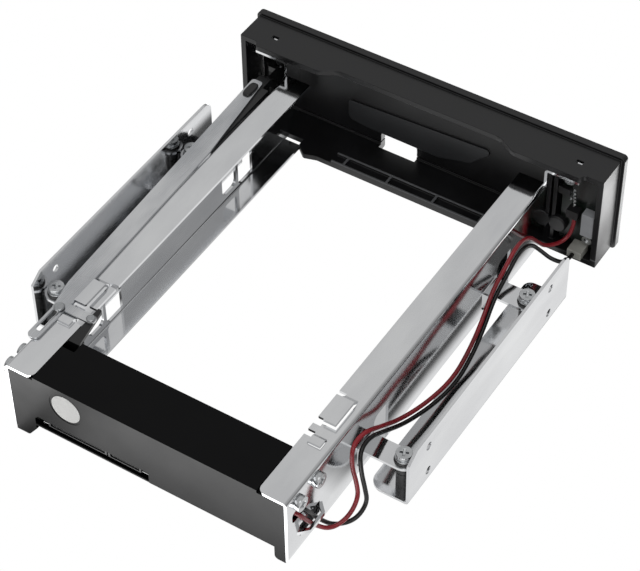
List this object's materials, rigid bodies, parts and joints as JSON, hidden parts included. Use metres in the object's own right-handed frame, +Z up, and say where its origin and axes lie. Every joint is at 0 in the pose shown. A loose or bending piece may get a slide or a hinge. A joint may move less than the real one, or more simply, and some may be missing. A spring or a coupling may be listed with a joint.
{
  "type": "hot swap drive cage",
  "caption": "Trayless metal and plastic cage that fits a 3.5 inch disk in a 5.25 inch bay, with a hinged door, an ejector strip, a rear backplane and rubber mounted side plates.",
  "frame": {"origin": "centre of the base: halfway along the cage, on its centre plane, at the height of the front flange's lower edge", "axes": "+X to the right seen from the front, +Y from the door to the rear, +Z up"},
  "size_m": [0.1486, 0.18, 0.0428],
  "materials": {
    "black_abs": "moulded, satin",
    "grey_abs": "moulded, satin",
    "black_pom": "moulded, smooth",
    "steel_pin": "turned",
    "stainless_sheet": "bright rolled stainless",
    "spring_steel": "rolled strip",
    "brass_post": "turned, plated",
    "black_rubber": "moulded",
    "zinc_screw": "zinc plated",
    "circuit_board": "solder mask",
    "black_connector": "glass filled",
    "gold_contact": "gold flash",
    "white_nylon": "natural nylon",
    "white_paper": "coated paper",
    "switch_body": "moulded",
    "clear_lens": "clear acrylic",
    "grey_terminal": "moulded",
    "red_pvc": "extruded",
    "black_pvc": "extruded"
  },
  "bodies": {
    "cage": {"bezel_frame": "black_abs", "door_hinge_pin": "steel_pin", "left_rail": "stainless_sheet", "right_rail": "stainless_sheet", "left_side_plate": "stainless_sheet", "right_side_plate": "stainless_sheet", "mount_posts": "brass_post", "rubber_bushes": "black_rubber", "mount_washers": "zinc_screw", "mount_screws": "zinc_screw", "backplane_housing": "black_abs", "backplane_board": "circuit_board", "drive_socket": "black_connector", "socket_contacts": "gold_contact", "power_plug": "black_connector", "data_plug": "black_connector", "plug_contacts": "gold_contact", "lead_header": "white_nylon", "header_plug": "white_nylon", "board_screws": "zinc_screw", "housing_screws": "zinc_screw", "round_sticker": "white_paper", "guide_rivet": "steel_pin", "tact_switch": "switch_body", "lamp_lens": "clear_lens", "status_lamp": "clear_lens", "control_board": "circuit_board", "lead_plug": "white_nylon", "board_terminal": "grey_terminal", "board_socket": "black_connector", "control_screws": "zinc_screw", "red_lead": "red_pvc", "black_lead": "black_pvc"},
    "door": {"front_door": "black_abs", "crank_pin": "steel_pin"},
    "lock": {"lock_slide": "grey_abs"},
    "ejector": {"ejector_strip": "spring_steel", "ejector_pull": "black_pom", "ejector_pusher": "black_pom", "link_rivets": "steel_pin"},
    "button": {"power_button": "grey_abs"}
  },
  "joints": [
    {"name": "door_swing", "type": "hinge", "parent": "cage", "child": "door", "pos_m": [0.0662, -0.0858, 0.0214], "axis": [0, 0, 1], "range_deg": [0, 90]},
    {"name": "lock_drop", "type": "slide", "parent": "door", "child": "lock", "axis": [0, 0, -1], "range_m": [0, 0.002]},
    {"name": "ejector_draw", "type": "slide", "parent": "cage", "child": "ejector", "axis": [0, -1, 0], "range_m": [0, 0.01]},
    {"name": "button_press", "type": "slide", "parent": "cage", "child": "button", "axis": [0, 1, 0], "range_m": [0, 0.001], "stiffness_N_per_m": 400, "springref_m": -0.001}
  ],
  "couplings": [
    {"joint": "ejector_draw", "follows": "door_swing", "m_per_rad": 0.006366}
  ]
}
